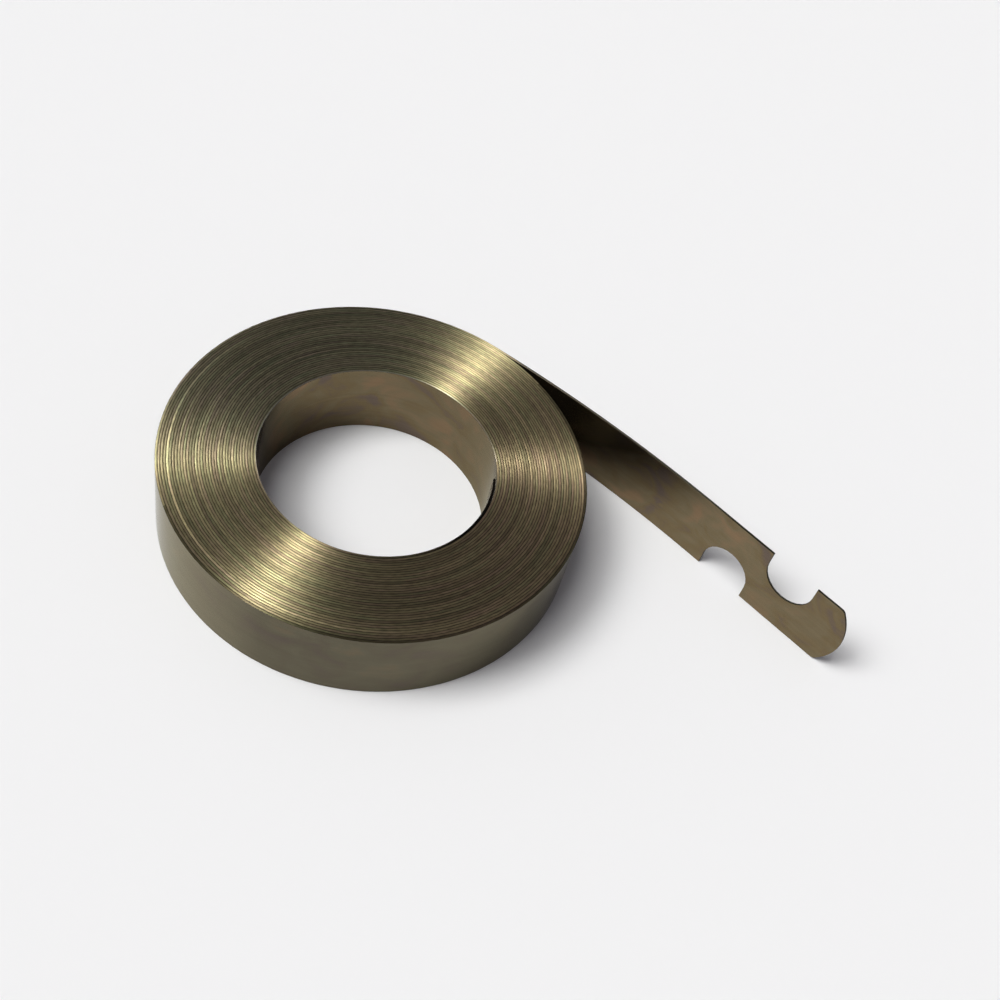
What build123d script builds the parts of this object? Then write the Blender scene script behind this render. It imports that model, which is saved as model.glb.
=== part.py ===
from build123d import *
import math
import os

# A constant force spring: one strip of spring steel wound into a tight coil, with a free tail
# that ends in two opposed notches and a rounded tip. Sizes are in millimetres and degrees,
# with +Z up. The coil lies on the strip's lower edge. The origin is on the drum's axis, level
# with that edge, and the straight end of the tail runs along +X.

# Strip
strip_width = 10.0
strip_thickness = 0.3

# Coil, from the bore outwards. The first and last turns are drawn one by one. Those between
# lie face to face and are drawn in packets, each with the room of that many turns.
inner_diameter = 27.3
inner_single_turns = 1
packet_count = 11
turns_in_packet = 3
outer_single_turns = 2
turn_gap = 0.08

# Free inner end, which springs in from the turn behind it
last_sweep = 120.0
curl_sweep = 76.0
curl_rise = 0.29

# Tail
tail_bend = 10.7
tail_bend_radius = 185.0
bend_to_lower_notch = 4.2
notch_spacing = 7.6
upper_notch_to_tip = 8.8
notch_width = 6.4
notch_depth = 5.1
tip_bulge = 1.8
tip_corner_radius = 0.8

# Derived
packet_thickness = turns_in_packet * strip_thickness - turn_gap
drawn_turns = inner_single_turns + packet_count + outer_single_turns
half_turns = 2 * drawn_turns
straight_length = bend_to_lower_notch + notch_spacing + upper_notch_to_tip


# The coil is drawn in half turns. Each half turn is an arc about a point on the Y axis, so the
# turns meet smoothly there. Crossing 0 is the innermost, on +Y, and the last is where the tail
# leaves, also on +Y.
def layer_thickness(crossing):
    inner = crossing <= 2 * inner_single_turns
    outer = crossing > half_turns - 2 * outer_single_turns
    return strip_thickness if inner or outer else packet_thickness


def crossing_radii():
    half_pitch = (strip_thickness + turn_gap) / 2
    inner = [inner_diameter / 2 - half_pitch, inner_diameter / 2]
    outer = []
    for crossing in range(half_turns + 1):
        outer.append(inner[crossing] + layer_thickness(crossing))
        inner.append(outer[crossing] + turn_gap)
    return inner, outer


def half_turn(radii, crossing):
    side = 1 if crossing % 2 == 0 else -1
    start, end = radii[crossing], radii[crossing + 1]
    centre = side * (start - end) / 2
    return centre, (start + end) / 2, 90 * side


# One face of the wound strip, from the free inner end to the end of the tail's bend.
def strip_face(radii, bend_radius):
    centre, radius, _ = half_turn(radii, 0)
    hold = last_sweep - curl_sweep
    inset = curl_rise / (1 - math.cos(math.radians(curl_sweep)))
    away = math.radians(hold - 90)
    curl_centre = (inset * math.cos(away), centre + inset * math.sin(away))
    arcs = [
        CenterArc(curl_centre, radius - inset, hold - 90, curl_sweep),
        CenterArc((0, centre), radius, -90, hold),
    ]
    for crossing in range(1, half_turns):
        centre, radius, start = half_turn(radii, crossing)
        arcs.append(CenterArc((0, centre), radius, start, -180))
    departure = radii[half_turns]
    arcs.append(CenterArc((0, departure - bend_radius), bend_radius, 90, -tail_bend))
    return arcs


# The coil and the tail's bend, with the coil's axis on Z and the tail leaving from +Y.
def wound_strip(inner, outer):
    outer_face = strip_face(outer, tail_bend_radius)
    inner_face = strip_face(inner, tail_bend_radius - strip_thickness)
    free_end = Line(outer_face[0] @ 1, inner_face[0] @ 1)
    tail_end = Line(outer_face[-1] @ 1, inner_face[-1] @ 1)
    outline = Wire(outer_face + inner_face + [free_end, tail_end])
    return extrude(Face(outline), strip_width)


# A notch in the strip's lower edge, open downwards, with a round end.
def notch_outline():
    round_height = notch_depth - notch_width / 2
    mouth = Rectangle(notch_width, 2 * round_height)
    return mouth + Pos(0, round_height) * Circle(notch_width / 2)


# The tail's straight end, which starts at the origin and runs along +X, its outer face at Y 0.
def hooked_end():
    shoulder = straight_length - tip_bulge
    bottom = Line((0, 0), (shoulder, 0))
    tip = ThreePointArc((shoulder, 0), (straight_length, strip_width / 2), (shoulder, strip_width))
    top = Line((shoulder, strip_width), (0, strip_width))
    root = Line((0, strip_width), (0, 0))
    blank = Face(Wire([bottom, tip, top, root]))
    corners = [vertex for vertex in blank.vertices() if abs(vertex.X - shoulder) < tip_bulge / 2]
    blank = blank.fillet_2d(tip_corner_radius, corners)
    upper_notch = bend_to_lower_notch + notch_spacing
    blank -= Pos(bend_to_lower_notch, 0) * notch_outline()
    blank -= Pos(upper_notch, strip_width) * Rot(0, 0, 180) * notch_outline()
    return extrude(Plane.XZ * blank, strip_thickness)


# The drum rests on the free inner end and on the wall across from it.
def drum_seat(inner):
    free_angle = math.radians(last_sweep - 90)
    centre, radius, _ = half_turn(inner, 0)
    free_radius = radius - curl_rise
    opposite, wall_radius, _ = half_turn(inner, 1)
    free_radius += centre * math.sin(free_angle)
    wall_radius -= opposite * math.sin(free_angle)
    shift = (wall_radius - free_radius) / 2
    return shift, (wall_radius + free_radius) / 2


def spring():
    inner, outer = crossing_radii()
    bend = math.radians(tail_bend)
    end_x = tail_bend_radius * math.sin(bend)
    end_y = outer[half_turns] - tail_bend_radius * (1 - math.cos(bend))
    body = wound_strip(inner, outer) + Pos(end_x, end_y) * Rot(0, 0, -tail_bend) * hooked_end()
    shift, _ = drum_seat(inner)
    free_angle = math.radians(last_sweep - 90)
    centred = Pos(shift * math.cos(free_angle), shift * math.sin(free_angle)) * body
    return Rot(0, 0, tail_bend) * centred


part = spring()
os.makedirs("parts", exist_ok=True)
export_step(part, "parts/spring_strip.step")
seat_radius = drum_seat(crossing_radii()[0])[1]
print("solids", len(part.solids()), "volume", round(part.volume, 1))
print("box", part.bounding_box())
print("drum seat radius", round(seat_radius, 3))
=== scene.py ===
import math
import bpy
import bmesh
from mathutils import Vector, Matrix


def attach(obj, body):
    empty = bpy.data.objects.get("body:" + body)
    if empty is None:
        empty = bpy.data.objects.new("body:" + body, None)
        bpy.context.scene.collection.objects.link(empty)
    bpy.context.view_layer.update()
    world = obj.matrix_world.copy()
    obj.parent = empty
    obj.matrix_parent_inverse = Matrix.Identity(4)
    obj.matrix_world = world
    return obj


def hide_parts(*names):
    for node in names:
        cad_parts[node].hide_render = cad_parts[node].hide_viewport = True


mm = 0.001
fullTurn = 2 * math.pi

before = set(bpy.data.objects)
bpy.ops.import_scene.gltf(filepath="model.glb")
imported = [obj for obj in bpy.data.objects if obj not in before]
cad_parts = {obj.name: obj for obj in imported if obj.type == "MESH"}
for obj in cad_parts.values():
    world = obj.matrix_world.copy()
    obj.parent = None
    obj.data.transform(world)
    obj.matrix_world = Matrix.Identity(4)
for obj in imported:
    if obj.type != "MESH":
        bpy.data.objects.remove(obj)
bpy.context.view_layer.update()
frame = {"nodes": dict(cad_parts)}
print("frame loaded:", ", ".join(frame["nodes"]))


def direction(azimuth, elevation):
    az, el = math.radians(azimuth), math.radians(elevation)
    return Vector((math.cos(el) * math.cos(az), math.cos(el) * math.sin(az), math.sin(el)))


# a plain value is set on the socket, anything else is linked to it
def connect(tree, source, target):
    if isinstance(source, (int, float, str, tuple, Vector)):
        target.default_value = source
    else:
        tree.links.new(source, target)


# sources go to the node's sockets by name or number
def addNode(tree, kind, sources=None, **settings):
    node = tree.nodes.new(kind)
    for name, value in settings.items():
        setattr(node, name, value)
    for socket, source in (sources or {}).items():
        connect(tree, source, node.inputs[socket])
    return node


def calc(tree, operation, a, b=0.0, clamp=False):
    sources = {0: a, 1: b}
    node = addNode(tree, "ShaderNodeMath", sources, operation=operation, use_clamp=clamp)
    return node.outputs[0]


def vectorCalc(tree, operation, a, b=(0.0, 0.0, 0.0)):
    node = addNode(tree, "ShaderNodeVectorMath", {0: a, 1: b}, operation=operation)
    return node.outputs["Value" if operation == "DOT_PRODUCT" else "Vector"]


def joined(tree, x=0.0, y=0.0, z=0.0):
    return addNode(tree, "ShaderNodeCombineXYZ", {0: x, 1: y, 2: z}).outputs[0]


def parted(tree, source):
    return addNode(tree, "ShaderNodeSeparateXYZ", {0: source}).outputs


# 0 up to the start, then towards 1 at the rate of the gain
def climb(tree, source, start, gain):
    return calc(tree, "MULTIPLY", calc(tree, "SUBTRACT", source, start), gain, clamp=True)


def distance(tree, source, centre):
    return calc(tree, "ABSOLUTE", calc(tree, "SUBTRACT", source, centre))


# columns from the result leftwards, so that a tree reads well when it is opened
def layOut(tree, columnWidth=220, rowHeight=200):
    column = {node.name: 0 for node in tree.nodes}
    moved = True
    while moved:
        moved = False
        for link in tree.links:
            left = column[link.to_node.name] + 1
            if column[link.from_node.name] < left:
                column[link.from_node.name] = left
                moved = True
    filled = {}
    for node in tree.nodes:
        at = column[node.name]
        node.location = (-columnWidth * at, -rowHeight * filled.get(at, 0))
        filled[at] = filled.get(at, 0) + 1


# one flat strip: a roll wound on itself, a bowed tail, and a hooked end; mm and degrees
strip = {
    "turns": 35 + 5 / 6,         # from the free inner end to where the tail departs
    "pointsPerTurn": 120,
    "width": 9.94,
    "thickness": 0.3,
    "middleHeight": 5.0,
    "edgeRounding": 0.12,        # how far in the rolled edge begins
    "edgeSteps": 3,
    "crownRadius": 0.32,         # the rolled edge is a shallow crown
    "edgeFade": 0.02,            # a face turns to edge over this depth
    "innerRadius": 13.673,       # middle of the strip at the free inner end
    "outerRadius": 24.6,         # middle of the strip where the tail departs
    "freeEndAngle": 40.7,
    "centre": (0.182, 0.157),
    "curlSweep": 76.0,           # the inner end stands off its own roll over this angle
    "curlRise": 0.1,
    "turnWander": 0.022,         # how far single turns stand proud or shy
    "wandersPerTurn": 0.9,
    "seed": 4.0,
    "tailRadius": 184.85,
    "tailBend": 10.7,
    "tailPoints": 24,
    "lowerNotchX": 34.126,
    "upperNotchX": 41.726,
    "notchWidth": 6.4,
    "notchDepth": 5.1,
    "notchSteps": 14,
    "tipX": 50.52,
    "tipBulge": 1.8,
    "tipSteps": 12,
    "tipCorner": 0.8,
    "cornerSteps": 6,
    "seamReach": 0.008,          # the hooked end meets the tail within this
}


# the winding tree's inputs by name, in metres and radians
def windingSizes():
    return {
        "Turns": strip["turns"],
        "Points per Turn": strip["pointsPerTurn"],
        "Strip Width": strip["width"] * mm,
        "Strip Thickness": strip["thickness"] * mm,
        "Edge Rounding": strip["edgeRounding"] * mm,
        "Edge Steps": strip["edgeSteps"],
        "Edge Fade": strip["edgeFade"] * mm,
        "Crown Radius": strip["crownRadius"] * mm,
        "Inner Radius": strip["innerRadius"] * mm,
        "Outer Radius": strip["outerRadius"] * mm,
        "Curl Sweep": math.radians(strip["curlSweep"]),
        "Curl Rise": strip["curlRise"] * mm,
        "Tail Radius": strip["tailRadius"] * mm,
        "Tail Bend": math.radians(strip["tailBend"]),
        "Tail Points": strip["tailPoints"],
        "Turn Wander": strip["turnWander"] * mm,
        "Wanders per Turn": strip["wandersPerTurn"],
        "Seed": strip["seed"],
    }


def setPosition(tree, geometry, sources):
    return addNode(tree, "GeometryNodeSetPosition", {"Geometry": geometry, **sources}).outputs[0]


def storeValue(tree, geometry, name, value, kind):
    sources = {"Geometry": geometry, "Name": name, "Value": value}
    node = addNode(tree, "GeometryNodeStoreNamedAttribute", sources, data_type=kind, domain="POINT")
    return node.outputs[0]


def captureValue(tree, geometry, value, kind):
    node = addNode(tree, "GeometryNodeCaptureAttribute", domain="POINT")
    node.capture_items.new(kind, "value")
    connect(tree, geometry, node.inputs[0])
    connect(tree, value, node.inputs[1])
    return node.outputs[0], node.outputs[1]


# a spiral that runs on past the departure by the tail's points
def addSpiral(tree, given, extraTurns):
    hair = 0.00002               # keeps the last point from being rounded away
    allTurns = calc(tree, "ADD", calc(tree, "ADD", given["Turns"], extraTurns), hair)
    span = calc(tree, "SUBTRACT", given["Outer Radius"], given["Inner Radius"])
    growth = calc(tree, "MULTIPLY", calc(tree, "DIVIDE", span, given["Turns"]), allTurns)
    return addNode(tree, "GeometryNodeCurveSpiral", {
        "Resolution": given["Points per Turn"],
        "Rotations": allTurns,
        "Start Radius": given["Inner Radius"],
        "End Radius": calc(tree, "ADD", given["Inner Radius"], growth),
        "Height": 0.0,
    }).outputs[0]


# the free inner end stands off the roll
def curlOffset(tree, given, position, turn):
    angle = calc(tree, "MULTIPLY", turn, fullTurn)
    sweepLeft = calc(tree, "MAXIMUM", calc(tree, "SUBTRACT", given["Curl Sweep"], angle), 0.0)
    lift = calc(tree, "SUBTRACT", 1.0, calc(tree, "COSINE", sweepLeft))
    fullLift = calc(tree, "SUBTRACT", 1.0, calc(tree, "COSINE", given["Curl Sweep"]))
    inset = calc(tree, "MULTIPLY", given["Curl Rise"], calc(tree, "DIVIDE", lift, fullLift))
    outward = vectorCalc(tree, "NORMALIZE", position)
    sources = {0: outward, "Scale": calc(tree, "MULTIPLY", inset, -1.0)}
    return addNode(tree, "ShaderNodeVectorMath", sources, operation="SCALE").outputs[0]


# single turns sit a little high or low, and the last one settles before the tail
def wanderOffset(tree, given, turn):
    spot = joined(tree, calc(tree, "MULTIPLY", turn, given["Wanders per Turn"]), given["Seed"])
    sources = {"Vector": spot, "Scale": 1.0, "Detail": 3.0}
    noise = addNode(tree, "ShaderNodeTexNoise", sources, noise_dimensions="2D").outputs[0]
    eitherWay = calc(tree, "MULTIPLY", calc(tree, "SUBTRACT", noise, 0.5), 2.0)
    wander = calc(tree, "MULTIPLY", eitherWay, given["Turn Wander"])
    settled = calc(tree, "SUBTRACT", given["Turns"], turn, clamp=True)
    return joined(tree, z=calc(tree, "MULTIPLY", wander, settled))


# past the departure the strip follows the tail's wide arc
def bendTail(tree, given, path, turn, extraTurns):
    past = calc(tree, "SUBTRACT", turn, given["Turns"])
    barely = 0.0005              # the departure's own point stays on the roll
    onTail = addNode(tree, "FunctionNodeCompare", {0: past, 1: barely}, data_type="FLOAT",
                     operation="GREATER_THAN").outputs[0]
    bent = calc(tree, "MULTIPLY", calc(tree, "DIVIDE", past, extraTurns), given["Tail Bend"])
    leaveAngle = calc(tree, "MULTIPLY", given["Turns"], -fullTurn)
    tailAngle = calc(tree, "SUBTRACT", leaveAngle, bent)
    back = calc(tree, "SUBTRACT", given["Outer Radius"], given["Tail Radius"])
    place = []
    for part in ("COSINE", "SINE"):
        toCentre = calc(tree, "MULTIPLY", calc(tree, part, leaveAngle), back)
        fromCentre = calc(tree, "MULTIPLY", calc(tree, part, tailAngle), given["Tail Radius"])
        place.append(calc(tree, "ADD", toCentre, fromCentre))
    return setPosition(tree, path, {"Selection": onTail, "Position": joined(tree, *place)})


# the strip's section: a thin rectangle with crowned edges
def addSection(tree, given, position):
    sides = {"Width": given["Strip Thickness"], "Height": given["Strip Width"]}
    section = addNode(tree, "GeometryNodeCurvePrimitiveQuadrilateral", sides, mode="RECTANGLE")
    rolling = {"Curve": section.outputs[0], "Radius": given["Edge Rounding"],
               "Count": given["Edge Steps"]}
    rolled = addNode(tree, "GeometryNodeFilletCurve", rolling, mode="POLY").outputs[0]
    corner = parted(tree, position)
    radius = given["Crown Radius"]
    crownSquare = calc(tree, "MULTIPLY", radius, radius)
    depthSquare = calc(tree, "MULTIPLY", corner[0], corner[0])
    reach = calc(tree, "SQRT", calc(tree, "SUBTRACT", crownSquare, depthSquare))
    drop = calc(tree, "SUBTRACT", radius, reach)
    halfWidth = calc(tree, "MULTIPLY", given["Strip Width"], 0.5)
    side = calc(tree, "SIGN", corner[1])
    height = calc(tree, "MULTIPLY", side, calc(tree, "SUBTRACT", halfWidth, drop))
    crowned = setPosition(tree, rolled, {"Position": joined(tree, corner[0], height)})
    return captureValue(tree, crowned, position, "VECTOR")


def windingTree(material, sizes):
    tree = bpy.data.node_groups.new("woundStripTree", "GeometryNodeTree")
    identifiers = {}
    for name, value in sizes.items():
        kind = "NodeSocketInt" if isinstance(value, int) else "NodeSocketFloat"
        socket = tree.interface.new_socket(name=name, in_out="INPUT", socket_type=kind)
        identifiers[name] = socket.identifier
    tree.interface.new_socket(name="Geometry", in_out="OUTPUT", socket_type="NodeSocketGeometry")
    given = addNode(tree, "NodeGroupInput").outputs
    index = addNode(tree, "GeometryNodeInputIndex").outputs[0]
    position = addNode(tree, "GeometryNodeInputPosition").outputs[0]
    turn = calc(tree, "DIVIDE", index, given["Points per Turn"])
    extraTurns = calc(tree, "DIVIDE", given["Tail Points"], given["Points per Turn"])

    spiral = addSpiral(tree, given, extraTurns)
    offset = vectorCalc(tree, "ADD", curlOffset(tree, given, position, turn),
                        wanderOffset(tree, given, turn))
    wound = setPosition(tree, spiral, {"Offset": offset})
    path = bendTail(tree, given, wound, turn, extraTurns)
    upright = addNode(tree, "GeometryNodeSetCurveNormal", {"Curve": path}, mode="Z_UP").outputs[0]
    numbered = storeValue(tree, upright, "turnNumber", turn, "FLOAT")
    along = addNode(tree, "GeometryNodeSplineParameter").outputs["Length"]
    measured, run = captureValue(tree, numbered, along, "FLOAT")
    section, across = addSection(tree, given, position)
    ends = {"Curve": measured, "Profile Curve": section}
    swept = addNode(tree, "GeometryNodeCurveToMesh", ends).outputs[0]

    # stripSpot is the place on the strip laid out straight, edgeShare is 1 on the narrow edges
    flat = parted(tree, across)
    spot = joined(tree, run, flat[1], flat[0])
    spotted = storeValue(tree, swept, "stripSpot", spot, "FLOAT_VECTOR")
    halfThick = calc(tree, "MULTIPLY", given["Strip Thickness"], 0.5)
    depth = calc(tree, "SUBTRACT", halfThick, calc(tree, "ABSOLUTE", flat[0]))
    edgeShare = calc(tree, "DIVIDE", depth, given["Edge Fade"], clamp=True)
    edged = storeValue(tree, spotted, "edgeShare", edgeShare, "FLOAT")
    smooth = addNode(tree, "GeometryNodeSetShadeSmooth", {"Geometry": edged}).outputs[0]
    real = addNode(tree, "GeometryNodeRealizeInstances", {0: smooth}).outputs[0]
    paint = addNode(tree, "GeometryNodeSetMaterial", {"Geometry": real})
    paint.inputs["Material"].default_value = material
    addNode(tree, "NodeGroupOutput", {0: paint.outputs[0]})
    layOut(tree)
    return tree, identifiers


# the steel: tints are linear values, sizes are mm. A start and a gain say where along the
# strip, its tone or the coil's sides a change begins and how fast it comes.
steel = {
    # along the strip, across it, detail, distortion and shift of each pattern
    "patterns": {
        "patches": (6.0, 4.5, 3.0, 0.8, 0.0),
        "clouds": (30.0, 14.0, 2.0, 0.3, 7.0),
        "lines": (22.0, 0.28, 3.0, 0.0, 3.0),
        "edgeStreaks": (14.0, 0.25, 3.0, 0.0, 11.0),
        "edgeSpecks": (0.9, 0.16, 2.0, 0.0, 5.0),
        "edgePatches": (7.0, 7.0, 2.0, 0.6, 17.0),
    },
    "outerTints": [
        (0.32, (0.129, 0.102, 0.088)),
        (0.45, (0.138, 0.120, 0.086)),
        (0.57, (0.149, 0.135, 0.095)),
        (0.70, (0.185, 0.144, 0.096)),
    ],
    "outerClean": (1.0, (0.151, 0.134, 0.095)),      # share in the clouds, tint
    "paintedSheenAndShade": [                                  # painted sheen where the shade is above 1, painted shade where it is below 1, on that side of the outer wall: azimuth, start, gain, shade
        (260.0, 0.88, 8.3, 1.6),
        (306.0, 0.62, 2.7, 0.84),
    ],
    "innerTints": [
        (0.34, (0.138, 0.105, 0.091)),
        (0.44, (0.180, 0.134, 0.070)),
        (0.54, (0.192, 0.156, 0.092)),
        (0.66, (0.255, 0.168, 0.097)),
    ],
    "innerClean": (0.5, (0.198, 0.151, 0.089)),
    "bore": (1.3, 0.76),                             # painted shade on the bore's wall: last turn it reaches, shade
    "rollingLines": (0.22, 0.55),                    # share, shade
    "edgeTints": [
        (0.32, (0.616, 0.482, 0.290)),
        (0.50, (0.585, 0.498, 0.264)),
        (0.68, (0.539, 0.512, 0.264)),
    ],
    "tonesPerTurn": 3.1,
    "toneReach": (0.4, 4.5),                         # start, gain
    "dullTone": (0.62, (0.45, 0.45, 0.47)),          # share, tint
    "edgeStreaks": (0.6, (0.55, 0.55, 0.58)),
    "edgeSpecks": (0.8, (0.5, 0.5, 0.5)),
    "paintedHighlightTurns": [(31.42, 0.27, 1.2), (35.55, 0.14, 0.9)],     # painted highlight along turns that stand proud: turn, half reach, gain
    "grooveShadeReach": (0.45, 1.8),                       # painted shade where two turns meet: start from the middle, gain
    "grooveShadeShare": (0.5, 1.0),                        # least, most
    "grooveShadeTint": (0.25, 0.25, 0.27),
    "outermostTurn": (0.68, 0.27, 0.45),             # turns before the tail, half reach, shade
    "paintedRimHighlight": (0.655, 0.315, 0.03),                 # painted highlight on the bore's rim: turn, half reach, least depth
    "rimHighlightTint": (0.19, 0.18, 0.165),
    "edgeSides": [                                   # azimuth, tint
        (172.0, (0.955, 1.02, 1.14)),
        (19.4, (1.03, 0.965, 1.0)),
    ],
    "edgeSideReach": (0.4, 2.5),                     # start, gain
    "freeEnd": (0.24, -8.0, (0.015, 0.013, 0.011)),  # painted shade on the free inner end's edge: last dark turn, gain, tint
    "tailEdge": (40.0, (0.05, 0.045, 0.035)),        # gain, tint
    "metal": 0.95,
    "grazingTint": (0.74, 0.72, 0.64),
    "faceRoughness": (0.06, 0.12),
    "edgeRoughness": (0.34, 0.41),
    "lineBump": (0.2, 0.004),                        # strength, depth
    "stretch": 1.0,                                  # how far reflections are drawn out,
    "stretchTurn": 0.25,                             # and the quarter turn that sets them across
}


# a noise stretched along the strip
def addPattern(tree, spot, name, length, width, detail, distortion, shift):
    scale = (1 / (length * mm), 1 / (width * mm), 1 / (width * mm))
    sources = {"Vector": spot, "Scale": scale, "Location": (shift, shift, shift)}
    placed = addNode(tree, "ShaderNodeMapping", sources, vector_type="POINT", label=name)
    look = {"Vector": placed.outputs[0], "Scale": 1.0, "Detail": detail, "Distortion": distortion}
    return addNode(tree, "ShaderNodeTexNoise", look, label=name).outputs[0]


def addRamp(tree, source, stops):
    node = addNode(tree, "ShaderNodeValToRGB", {0: source})
    bar = node.color_ramp
    while len(bar.elements) < len(stops):
        bar.elements.new(0.5)
    for element, (at, tint) in zip(bar.elements, stops):
        element.position = at
        element.color = (*tint, 1)
    return node.outputs[0]


# the Mix node keeps its colours after its numbers and vectors
def blend(tree, mode, share, a, b):
    node = addNode(tree, "ShaderNodeMix", {0: share}, data_type="RGBA", blend_type=mode)
    for source, target in ((a, node.inputs[6]), (b, node.inputs[7])):
        connect(tree, (*source, 1) if isinstance(source, tuple) else source, target)
    return node.outputs[2]


def shadeBy(tree, share, colour, shade):
    return blend(tree, "MULTIPLY", share, colour, (shade,) * 3)


# the middle of a noise's range, spread from low to high
def spread(tree, noise, low, high):
    sources = {0: noise, 1: 0.3, 2: 0.7, 3: low, 4: high}
    return addNode(tree, "ShaderNodeMapRange", sources).outputs[0]


# the rolling direction, which runs round the coil
def rollingDirection(tree):
    here = addNode(tree, "ShaderNodeTexCoord").outputs["Object"]
    axis = (strip["centre"][0] * mm, strip["centre"][1] * mm, 0.0)
    fromAxis = vectorCalc(tree, "SUBTRACT", here, axis)
    return vectorCalc(tree, "CROSS_PRODUCT", (0.0, 0.0, 1.0), fromAxis)


# 1 on the side of the coil that faces the azimuth, 0 away from it; around leads by 90 degrees
def sideShare(tree, around, azimuth, start, gain):
    facing = vectorCalc(tree, "DOT_PRODUCT", around, direction(azimuth + 90, 0))
    return climb(tree, facing, start, gain)


def faceColour(tree, noises, around, depth, turn):
    colours = []
    for name in ("outer", "inner"):
        share, clean = steel[name + "Clean"]
        tinted = addRamp(tree, noises["patches"], steel[name + "Tints"])
        clouds = spread(tree, noises["clouds"], 0.0, share)
        colours.append(blend(tree, "MIX", clouds, tinted, clean))
    outer, inner = colours
    # painted sheen and painted shade on the sides of the outer wall
    for azimuth, start, gain, shade in steel["paintedSheenAndShade"]:
        outer = shadeBy(tree, sideShare(tree, around, azimuth, start, gain), outer, shade)
    # painted shade on the bore's wall, fading out by its last turn
    boreEnd, boreShade = steel["bore"]
    inner = shadeBy(tree, calc(tree, "SUBTRACT", boreEnd, turn, clamp=True), inner, boreShade)
    inside = calc(tree, "GREATER_THAN", depth, 0.0)
    lineShare, lineShade = steel["rollingLines"]
    lined = spread(tree, noises["lines"], 0.0, lineShare)
    return shadeBy(tree, lined, blend(tree, "MIX", inside, outer, inner), lineShade)


def edgeColour(tree, noises, around, depth, turn):
    colour = addRamp(tree, noises["edgePatches"], steel["edgeTints"])

    # every turn has tones of its own, crossed by streaks and specks
    place = calc(tree, "MULTIPLY", turn, steel["tonesPerTurn"])
    sources = {"W": place, "Scale": 1.0, "Detail": 2.0, "Roughness": 0.6}
    tone = addNode(tree, "ShaderNodeTexNoise", sources, noise_dimensions="1D").outputs[0]
    dullShare, dullTint = steel["dullTone"]
    dull = calc(tree, "MULTIPLY", climb(tree, tone, *steel["toneReach"]), dullShare)
    colour = blend(tree, "MULTIPLY", dull, colour, dullTint)
    for name in ("edgeStreaks", "edgeSpecks"):
        share, tint = steel[name]
        colour = blend(tree, "MULTIPLY", spread(tree, noises[name], 0.0, share), colour, tint)
    # painted highlight on a few single turns, where proud turns would catch the light
    for centre, reach, gain in steel["paintedHighlightTurns"]:
        away = calc(tree, "DIVIDE", distance(tree, turn, centre), reach)
        lit = calc(tree, "MULTIPLY", calc(tree, "SUBTRACT", 1.0, away, clamp=True), gain)
        colour = blend(tree, "ADD", lit, colour, colour)

    # painted shade sits where two turns meet, and the outermost turn's edge is darker
    halfThick = strip["thickness"] / 2 * mm
    fromMiddle = calc(tree, "DIVIDE", calc(tree, "ABSOLUTE", depth), halfThick)
    grooveShade = calc(tree, "MULTIPLY", climb(tree, fromMiddle, *steel["grooveShadeReach"]),
                 spread(tree, noises["edgeSpecks"], *steel["grooveShadeShare"]))
    colour = blend(tree, "MULTIPLY", grooveShade, colour, steel["grooveShadeTint"])
    back, reach, shade = steel["outermostTurn"]
    outermost = calc(tree, "LESS_THAN", distance(tree, turn, strip["turns"] - back), reach)
    colour = shadeBy(tree, outermost, colour, shade)

    # painted highlight along the bore's rim, and the tint changes a little round the coil
    centre, reach, start = steel["paintedRimHighlight"]
    nearRim = calc(tree, "LESS_THAN", distance(tree, turn, centre), reach)
    rim = calc(tree, "MULTIPLY", nearRim, calc(tree, "GREATER_THAN", depth, start * mm))
    colour = blend(tree, "ADD", rim, colour, steel["rimHighlightTint"])
    for azimuth, tint in steel["edgeSides"]:
        share = sideShare(tree, around, azimuth, *steel["edgeSideReach"])
        colour = blend(tree, "MULTIPLY", share, colour, tint)

    # painted shade: the free inner end's edge is near black, standing for the shaded slit beside
    # it; the tail has dark edges
    freeTurn, freeGain, freeTint = steel["freeEnd"]
    colour = blend(tree, "MIX", climb(tree, turn, freeTurn, freeGain), colour, freeTint)
    tailGain, tailTint = steel["tailEdge"]
    return blend(tree, "MIX", climb(tree, turn, strip["turns"], tailGain), colour, tailTint)


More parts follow.
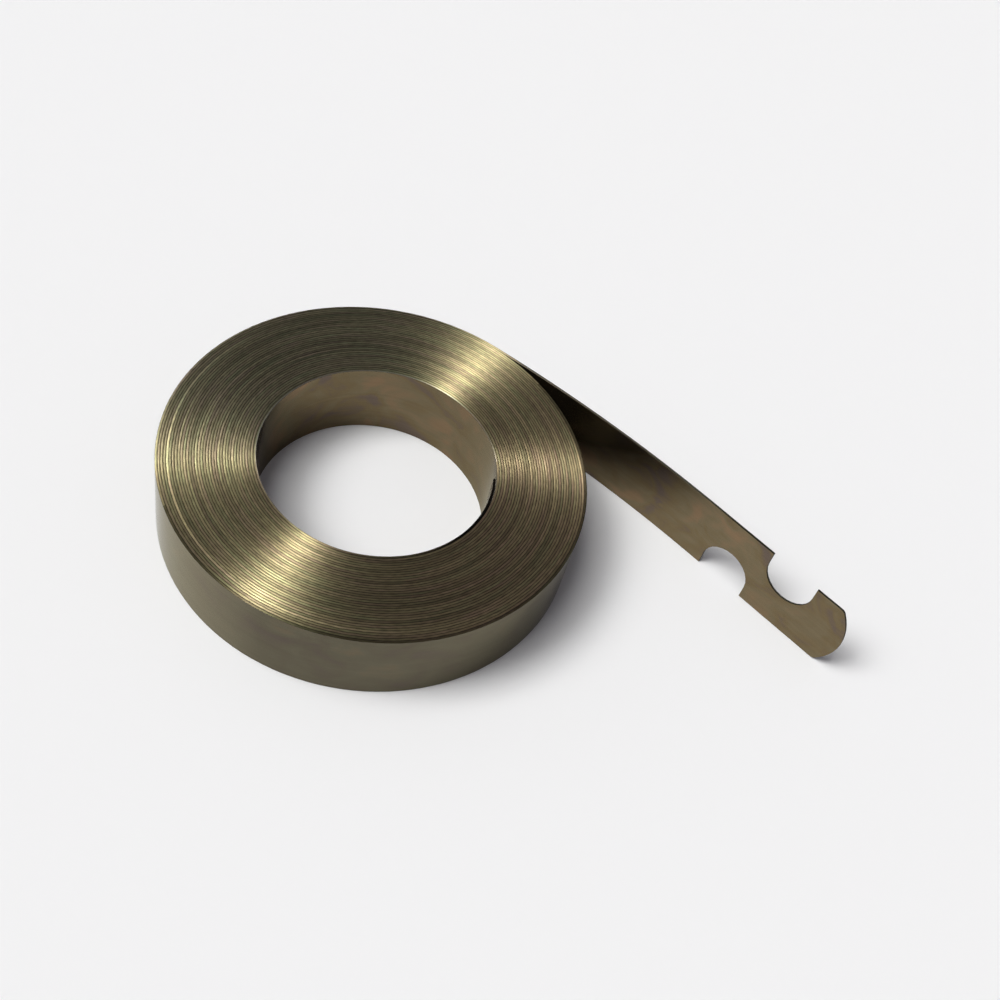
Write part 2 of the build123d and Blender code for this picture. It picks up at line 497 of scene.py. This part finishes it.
def makeSteel():
    material = bpy.data.materials.new("springSteel")
    material.use_nodes = True
    tree = material.node_tree
    shader = tree.nodes["Principled BSDF"]

    def stored(name, output):
        return addNode(tree, "ShaderNodeAttribute", attribute_name=name).outputs[output]

    spot, onEdge = stored("stripSpot", "Vector"), stored("edgeShare", "Fac")
    turn, depth = stored("turnNumber", "Fac"), parted(tree, spot)[2]
    noises = {name: addPattern(tree, spot, name, *sizes)
              for name, sizes in steel["patterns"].items()}
    rolling = rollingDirection(tree)
    around = vectorCalc(tree, "NORMALIZE", rolling)
    faces = faceColour(tree, noises, around, depth, turn)
    edges = edgeColour(tree, noises, around, depth, turn)
    roughness = addNode(tree, "ShaderNodeMix", {
        0: onEdge,
        2: spread(tree, noises["clouds"], *steel["faceRoughness"]),
        3: spread(tree, noises["edgeStreaks"], *steel["edgeRoughness"]),
    }, data_type="FLOAT").outputs[0]
    strength, height = steel["lineBump"]
    bump = addNode(tree, "ShaderNodeBump", {
        "Strength": strength,
        "Distance": height * mm,
        "Height": noises["lines"],
    }).outputs[0]
    tangent = addNode(tree, "ShaderNodeVectorTransform", {0: rolling}, vector_type="VECTOR",
                      convert_from="OBJECT", convert_to="WORLD").outputs[0]
    look = {
        "Base Color": blend(tree, "MIX", onEdge, faces, edges),
        "Metallic": steel["metal"],
        "Specular Tint": (*steel["grazingTint"], 1),
        "Roughness": roughness,
        "Normal": bump,
        "Tangent": tangent,
        "Anisotropic": steel["stretch"],
        "Anisotropic Rotation": steel["stretchTurn"],
    }
    for socket, source in look.items():
        connect(tree, source, shader.inputs[socket])
    layOut(tree)
    return material


# the modifier's result becomes the piece's own plain mesh
def applyModifier(piece, modifier):
    graph = bpy.context.evaluated_depsgraph_get()
    mesh = bpy.data.meshes.new_from_object(
        piece.evaluated_get(graph), preserve_all_data_layers=True, depsgraph=graph)
    piece.modifiers.remove(modifier)
    piece.data = mesh


def windStrip(material):
    sizes = windingSizes()
    tree, identifiers = windingTree(material, sizes)
    piece = bpy.data.objects.new("woundStrip", bpy.data.meshes.new("woundStrip"))
    bpy.context.scene.collection.objects.link(piece)
    winding = piece.modifiers.new("winding", "NODES")
    winding.node_group = tree
    for name, value in sizes.items():
        winding[identifiers[name]] = value
    applyModifier(piece, winding)
    x, y = strip["centre"]
    place = Matrix.Translation((x * mm, y * mm, strip["middleHeight"] * mm))
    turned = Matrix.Rotation(math.radians(strip["freeEndAngle"]), 4, "Z")
    piece.data.transform(place @ turned)
    print("strip wound:", len(piece.data.polygons), "faces")
    return piece


# where the bowed tail ends and the hooked end begins
def tailEnd():
    leave = math.radians(strip["freeEndAngle"]) - fullTurn * strip["turns"]
    back = strip["outerRadius"] - strip["tailRadius"]
    return (strip["centre"][0] + math.cos(leave) * back,
            strip["centre"][1] + math.sin(leave) * back + strip["tailRadius"])


def arcPoints(centre, radius, start, end, steps):
    angles = [start + (end - start) * i / steps for i in range(steps + 1)]
    return [(centre[0] + radius * math.cos(a), centre[1] + radius * math.sin(a)) for a in angles]


# the rounded tip: one wide arc between two small corners
def tipPoints(halfWidth):
    bulge, corner = strip["tipBulge"], strip["tipCorner"]
    radius = (halfWidth ** 2 + bulge ** 2) / (2 * bulge)
    centreX = strip["tipX"] - radius
    cornerZ = halfWidth - corner
    cornerX = centreX + math.sqrt((radius - corner) ** 2 - cornerZ ** 2)
    meet = math.atan2(cornerZ, cornerX - centreX)
    square = math.pi / 2
    steps = strip["cornerSteps"]
    wide = arcPoints((centreX, 0), radius, -meet, meet, strip["tipSteps"])
    return (arcPoints((cornerX, -cornerZ), corner, -square, -meet, steps) + wide[1:-1]
            + arcPoints((cornerX, cornerZ), corner, meet, square, steps))


# the flat hooked end, from the tail's lower edge round to its upper edge
def hookOutline():
    half = strip["width"] / 2
    radius, steps = strip["notchWidth"] / 2, strip["notchSteps"]
    deep = half - (strip["notchDepth"] - radius)
    rootX, lowerX, upperX = tailEnd()[0], strip["lowerNotchX"], strip["upperNotchX"]
    points = [(rootX, -half), (lowerX - radius, -half)]
    points += arcPoints((lowerX, -deep), radius, math.pi, 0, steps)
    points += [(lowerX + radius, -half)] + tipPoints(half) + [(upperX + radius, half)]
    points += arcPoints((upperX, deep), radius, 0, -math.pi, steps)
    return points + [(upperX - radius, half), (rootX, half)]


# at each point of the outline, the way that moves both its sides in by one unit
def inwardWays(outline):
    points = [Vector(point) for point in outline]
    sides = [(b - a).orthogonal().normalized() for a, b in zip(points, points[1:])]
    sharpest = 0.3               # keeps a sharp corner from running far in
    ways = []
    for i in range(len(points)):
        normals = sides[max(i - 1, 0):i + 1]
        middle = sum(normals, Vector((0, 0))).normalized()
        ways.append(middle / max(middle.dot(normals[0]), sharpest))
    return ways


# the crowned edge as steps through the thickness: inset from the outline, depth
def edgeLevels():
    half = strip["thickness"] / 2
    crown, steps = strip["crownRadius"], strip["edgeSteps"]
    depths = [strip["edgeRounding"] * (1 - math.cos(math.pi / 2 * i / steps)) - half
              for i in range(steps + 1)]
    levels = [(crown - math.sqrt(crown ** 2 - y ** 2), y) for y in depths]
    return levels + [(inset, -y) for inset, y in reversed(levels)]


def addHook(piece):
    outline = hookOutline()
    inward = inwardWays(outline)
    rootX, centreY = tailEnd()
    half = strip["thickness"] / 2
    shape = bmesh.new()
    shape.from_mesh(piece.data)
    turnLayer = shape.verts.layers.float["turnNumber"]
    spotLayer = shape.verts.layers.float_vector["stripSpot"]
    edgeLayer = shape.verts.layers.float["edgeShare"]
    lastTurn = max(v[turnLayer] for v in shape.verts)
    lastRun = max(v[spotLayer].x for v in shape.verts)
    sameTurn = 1e-4
    tailRing = [v for v in shape.verts if v[turnLayer] > lastTurn - sameTurn]
    freeRing = [v for v in shape.verts if v[turnLayer] < sameTurn]

    loops = []
    for inset, y in edgeLevels():
        loop = []
        for (x, z), way in zip(outline, inward):
            height = strip["middleHeight"] + z + way.y * inset
            v = shape.verts.new(((x + way.x * inset) * mm, (centreY + y) * mm, height * mm))
            v[turnLayer] = lastTurn
            v[spotLayer] = Vector((lastRun + (x - rootX) * mm, -z * mm, -y * mm))
            v[edgeLayer] = min(1, (half - abs(y)) / strip["edgeFade"])
            loop.append(v)
        loops.append(loop)
    for a, b in zip(loops, loops[1:]):
        for i in range(len(outline) - 1):
            shape.faces.new((a[i], a[i + 1], b[i + 1], b[i]))
    shape.faces.new(list(reversed(loops[0])))
    shape.faces.new(loops[-1])

    # the plate's root merges with the tail, and the free inner end is closed
    plateRoot = [v for loop in loops for v in (loop[0], loop[-1])]
    bmesh.ops.remove_doubles(shape, verts=tailRing + plateRoot, dist=strip["seamReach"] * mm)
    rim = {e for v in freeRing for e in v.link_edges if e.is_boundary}
    bmesh.ops.holes_fill(shape, edges=list(rim), sides=0)
    bmesh.ops.recalc_face_normals(shape, faces=shape.faces)
    openEdges = sum(1 for e in shape.edges if not e.is_manifold)
    for f in shape.faces:
        f.smooth = True
        f.material_index = 0
    shape.to_mesh(piece.data)
    shape.free()
    print("hooked end added, open edges:", openEdges)


springSteel = makeSteel()
woundStrip = windStrip(springSteel)
addHook(woundStrip)
applyModifier(woundStrip, woundStrip.modifiers.new("normals", "WEIGHTED_NORMAL"))
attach(woundStrip, "root")
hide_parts("spring_strip")
print("spring ready")


floorLook = {"colour": (0.93, 0.93, 0.92), "roughness": 0.9, "size": 6.0}


def makeFloor():
    half = floorLook["size"] / 2
    corners = [(-half, -half, 0), (half, -half, 0), (half, half, 0), (-half, half, 0)]
    mesh = bpy.data.meshes.new("floor")
    mesh.from_pydata(corners, [], [(0, 1, 2, 3)])
    floor = bpy.data.objects.new("floor", mesh)
    bpy.context.scene.collection.objects.link(floor)
    material = bpy.data.materials.new("paleFloor")
    material.use_nodes = True
    shader = material.node_tree.nodes["Principled BSDF"]
    shader.inputs["Base Color"].default_value = (*floorLook["colour"], 1)
    shader.inputs["Roughness"].default_value = floorLook["roughness"]
    shader.inputs["Specular IOR Level"].default_value = 0.0
    mesh.materials.append(material)


# two broad lamps that make the shade on the floor, and aren't mirrored in the steel
suns = {
    "softLamp": {"azimuth": 232.0, "elevation": 66.0, "strength": 1.61, "spread": 37.0},
    "contactLamp": {"azimuth": 234.0, "elevation": 50.5, "strength": 1.32, "spread": 25.5},
}

# two long narrow lamps between two directions, which make the bright fans on the edges
stripLamps = {
    "highLamp": {"start": (216.9, 70.2), "end": (155.3, 71.0), "width": 0.074, "brightness": 52.5},
    "sideLamp": {"start": (183.8, 37.3), "end": (145.3, 50.9), "width": 0.05, "brightness": 22.3},
}
stripLampColour = (1.0, 1.0, 0.98)
lampReach = 1.5                  # metres from the middle of the scene


def addSun(name, lamp):
    data = bpy.data.lights.new(name, "SUN")
    data.energy = lamp["strength"]
    data.angle = math.radians(lamp["spread"])
    sun = bpy.data.objects.new(name, data)
    towards = direction(lamp["azimuth"], lamp["elevation"])
    sun.location = towards * lampReach
    sun.rotation_euler = towards.to_track_quat("Z", "Y").to_euler()
    sun.visible_glossy = False
    bpy.context.scene.collection.objects.link(sun)


def addStripLamp(name, lamp):
    start = direction(*lamp["start"]) * lampReach
    end = direction(*lamp["end"]) * lampReach
    data = bpy.data.lights.new(name, "AREA")
    data.shape = "RECTANGLE"
    data.size, data.size_y = (end - start).length, lamp["width"]
    data.energy = lamp["brightness"] * math.pi * data.size * data.size_y
    data.color = stripLampColour
    box = bpy.data.objects.new(name, data)
    middle = (start + end) / 2
    z = middle.normalized()
    y = z.cross((end - start).normalized()).normalized()
    x = y.cross(z)
    box.matrix_world = Matrix.Translation(middle) @ Matrix((x, y, z)).transposed().to_4x4()
    box.visible_diffuse = False
    bpy.context.scene.collection.objects.link(box)


skyLook = {
    "colour": (0.99, 0.95, 1.08),
    "strength": 0.13,
    "horizonColour": (0.8, 0.8, 0.8),
    "horizonStrength": 0.7,
    "horizonDepth": 0.12,
    "glowColour": (0.97, 1.0, 0.98),
    "glowStrength": 0.24,
    "glowDirection": (204.0, 15.0),
    "glowTightness": 4.0,
}


# a plain sky that pales towards the horizon, with a soft glow on one side
def makeSky():
    world = bpy.data.worlds.new("studio")
    world.use_nodes = True
    tree = world.node_tree
    looking = addNode(tree, "ShaderNodeTexCoord").outputs["Generated"]
    height = calc(tree, "ABSOLUTE", parted(tree, looking)[2])
    fading = calc(tree, "EXPONENT", calc(tree, "DIVIDE", height, -skyLook["horizonDepth"]))
    towards = vectorCalc(tree, "DOT_PRODUCT", looking, direction(*skyLook["glowDirection"]))
    lobe = calc(tree, "POWER", calc(tree, "MAXIMUM", towards, 0.0), skyLook["glowTightness"])
    layers = [
        (skyLook["colour"], skyLook["strength"]),
        (skyLook["horizonColour"], calc(tree, "MULTIPLY", fading, skyLook["horizonStrength"])),
        (skyLook["glowColour"], calc(tree, "MULTIPLY", lobe, skyLook["glowStrength"])),
    ]
    tree.nodes.remove(tree.nodes["Background"])
    sky = None
    for colour, strength in layers:
        sources = {"Color": (*colour, 1), "Strength": strength}
        layer = addNode(tree, "ShaderNodeBackground", sources).outputs[0]
        if sky:
            layer = addNode(tree, "ShaderNodeAddShader", {0: sky, 1: layer}).outputs[0]
        sky = layer
    connect(tree, sky, tree.nodes["World Output"].inputs["Surface"])
    layOut(tree)
    bpy.context.scene.world = world


makeFloor()
for name, lamp in suns.items():
    addSun(name, lamp)
for name, lamp in stripLamps.items():
    addStripLamp(name, lamp)
makeSky()
print("stage and lamps ready")


# place in mm, turn in degrees
cameraSet = {
    "place": (61.981, -75.079, 124.523),
    "turn": (38.627, -10.857, 44.0),
    "lens": 47.27,
    "nearest": 1.0,
}


def addCamera():
    data = bpy.data.cameras.new("camera")
    data.lens = cameraSet["lens"]
    data.clip_start = cameraSet["nearest"] * mm
    camera = bpy.data.objects.new("camera", data)
    camera.location = Vector(cameraSet["place"]) * mm
    camera.rotation_euler = [math.radians(angle) for angle in cameraSet["turn"]]
    bpy.context.scene.collection.objects.link(camera)
    bpy.context.scene.camera = camera


addCamera()
bpy.context.scene.view_settings.view_transform = "Standard"
print("camera set")
